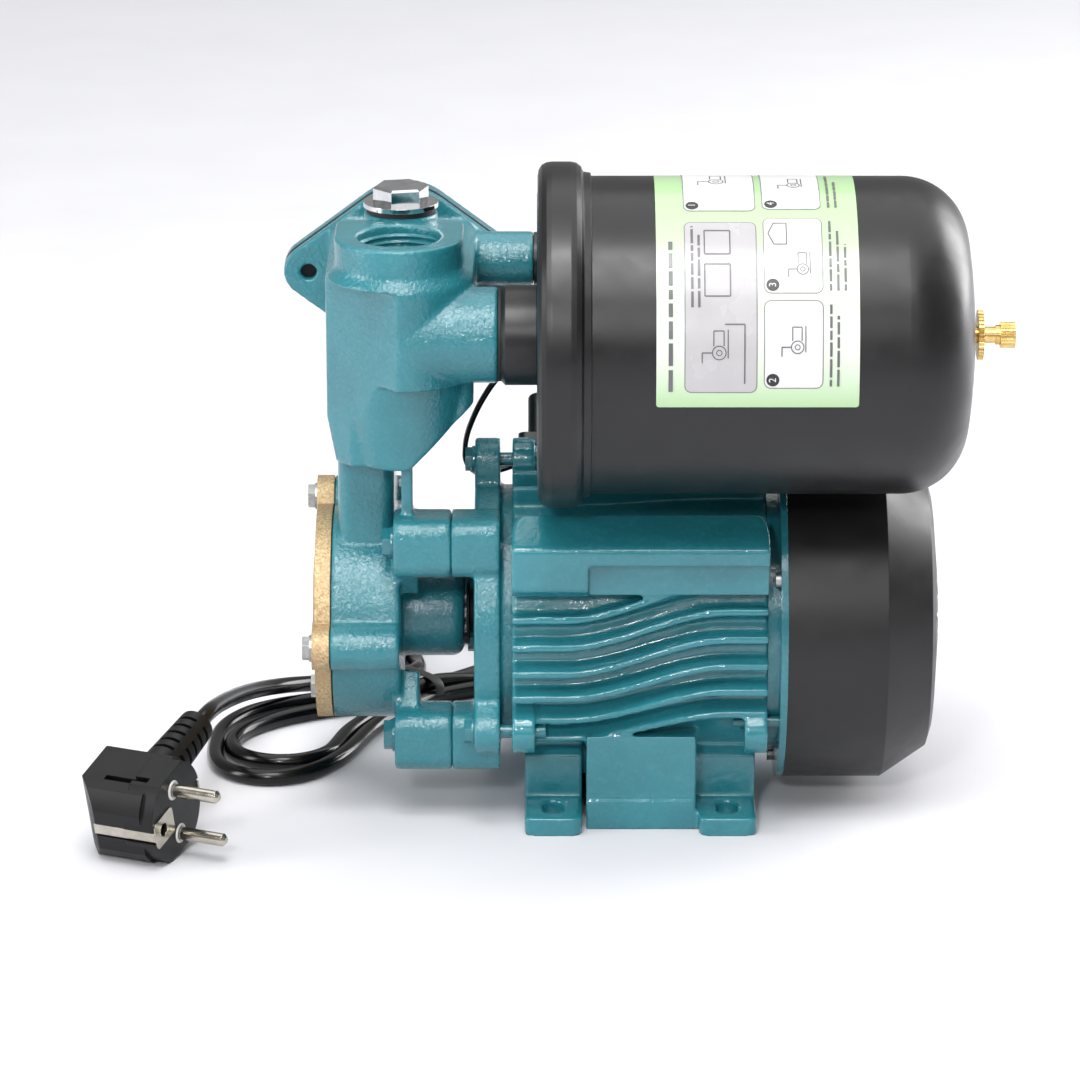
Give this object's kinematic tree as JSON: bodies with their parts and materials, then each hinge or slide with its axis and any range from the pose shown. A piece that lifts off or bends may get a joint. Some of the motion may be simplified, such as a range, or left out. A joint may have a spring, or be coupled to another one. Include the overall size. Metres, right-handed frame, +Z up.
{
  "type": "self-priming water pump",
  "caption": "Self-priming peripheral water pump with finned motor, pressure tank, pressure switch and corded plug.",
  "frame": {"origin": "on the ground plane, at the middle of the four foot slots", "axes": "+X along the motor shaft from the pump head to the fan cover, +Y out of the suction flange, +Z up out of the outlet"},
  "size_m": [0.3388, 0.2745, 0.25],
  "materials": {
    "enamel_teal": "glossy teal enamel over a cast surface, light orange peel",
    "enamel_teal_bolts": "bolts painted over with the casing",
    "brass_cast": "granular cast brass, unpolished",
    "brass_turned": "turned brass",
    "zinc": "bright zinc plated steel",
    "chrome_plug": "polished chrome plating",
    "stainless": "ground stainless steel",
    "bearing_steel": "ground bearing steel",
    "lamination": "stacked electrical steel",
    "copper": "enamelled copper wire",
    "black_rubber": "soft black rubber",
    "black_plastic": "satin black plastic",
    "black_gloss": "satin black moulded cap",
    "black_paint": "satin black paint",
    "tank_black": "smooth satin black powder coat",
    "ceramic_ring": "ground ceramic",
    "carbon": "carbon ring in rubber",
    "spring_steel": "spring steel",
    "cord_jacket": "satin black cord jacket",
    "plug_black": "matte black moulding",
    "nickel": "nickel plated brass",
    "fan_plastic": "moulded black nylon",
    "capacitor_white": "white plastic can",
    "terminal_white": "ivory nylon"
  },
  "bodies": {
    "pump": {"pump_body": "enamel_teal", "pump_cover": "brass_cast", "cover_oring": "black_rubber", "cover_bolts": "zinc", "seal_seat": "ceramic_ring", "stator_core": "lamination", "windings": "copper", "front_bearing_outer": "bearing_steel", "rear_bearing_outer": "bearing_steel", "front_bracket": "enamel_teal", "arm_bolts": "enamel_teal_bolts", "bracket_screws": "zinc", "motor_frame": "enamel_teal", "rear_shield": "enamel_teal", "shield_screws": "zinc", "fan_cover": "black_paint", "fan_cover_screws": "zinc", "terminal_box": "black_plastic", "terminal_lid": "black_plastic", "lid_screws": "zinc", "terminal_block": "terminal_white", "capacitor": "capacitor_white", "cable_gland": "black_rubber", "mains_lead": "cord_jacket", "mains_hank": "cord_jacket", "mains_tail": "cord_jacket", "plug_body": "plug_black", "plug_pins": "nickel", "plug_earth_clips": "nickel", "switch_lead": "cord_jacket", "switch_body": "black_gloss", "switch_cover": "black_gloss", "switch_spring": "spring_steel", "tank_front_shell": "tank_black", "tank_rear_shell": "tank_black", "tank_clamp_ring": "tank_black", "tank_diaphragm": "black_rubber", "tank_nipple": "tank_black", "tank_gasket": "black_rubber", "valve_stem": "brass_turned", "suction_flange": "enamel_teal", "flange_gasket": "black_rubber", "flange_bolts": "zinc"},
    "rotor": {"shaft": "stainless", "rotor_core": "lamination", "impeller": "brass_turned", "seal_head": "carbon", "seal_spring": "spring_steel", "slinger": "black_rubber", "front_bearing_inner": "bearing_steel", "rear_bearing_inner": "bearing_steel", "cooling_fan": "fan_plastic"},
    "front_cage": {"front_bearing_balls": "bearing_steel"},
    "rear_cage": {"rear_bearing_balls": "bearing_steel"},
    "filler": {"filler_plug": "chrome_plug", "filler_washer": "black_rubber"},
    "cap": {"valve_cap": "brass_turned"},
    "core": {"valve_core": "brass_turned"},
    "flap": {"check_flap": "black_rubber"},
    "plunger": {"switch_plunger": "brass_turned"}
  },
  "joints": [
    {"name": "rotor_spin", "type": "hinge", "parent": "pump", "child": "rotor", "pos_m": [0, 0, 0.068], "axis": [1, 0, 0], "continuous": true},
    {"name": "front_cage_spin", "type": "hinge", "parent": "pump", "child": "front_cage", "pos_m": [0, 0, 0.068], "axis": [1, 0, 0], "continuous": true},
    {"name": "rear_cage_spin", "type": "hinge", "parent": "pump", "child": "rear_cage", "pos_m": [0, 0, 0.068], "axis": [1, 0, 0], "continuous": true},
    {"name": "filler_lift", "type": "slide", "parent": "pump", "child": "filler", "axis": [0, 0, 1], "range_m": [0, 0.025]},
    {"name": "valve_cap_pull", "type": "slide", "parent": "pump", "child": "cap", "axis": [1, 0, 0], "range_m": [0, 0.012]},
    {"name": "valve_core_press", "type": "slide", "parent": "pump", "child": "core", "axis": [-1, 0, 0], "range_m": [0, 0.0015], "stiffness_N_per_m": 300},
    {"name": "check_flap_swing", "type": "hinge", "parent": "pump", "child": "flap", "pos_m": [-0.0884, 0.046, 0.2034], "axis": [-1, 0, 0], "range_deg": [0, 45]},
    {"name": "plunger_push", "type": "slide", "parent": "pump", "child": "plunger", "axis": [1, 0, 0], "range_m": [0, 0.002], "stiffness_N_per_m": 2000, "deforming": ["switch_spring"]}
  ],
  "couplings": [
    {"joint": "front_cage_spin", "follows": "rotor_spin", "ratio": 0.382},
    {"joint": "rear_cage_spin", "follows": "rotor_spin", "ratio": 0.382}
  ]
}
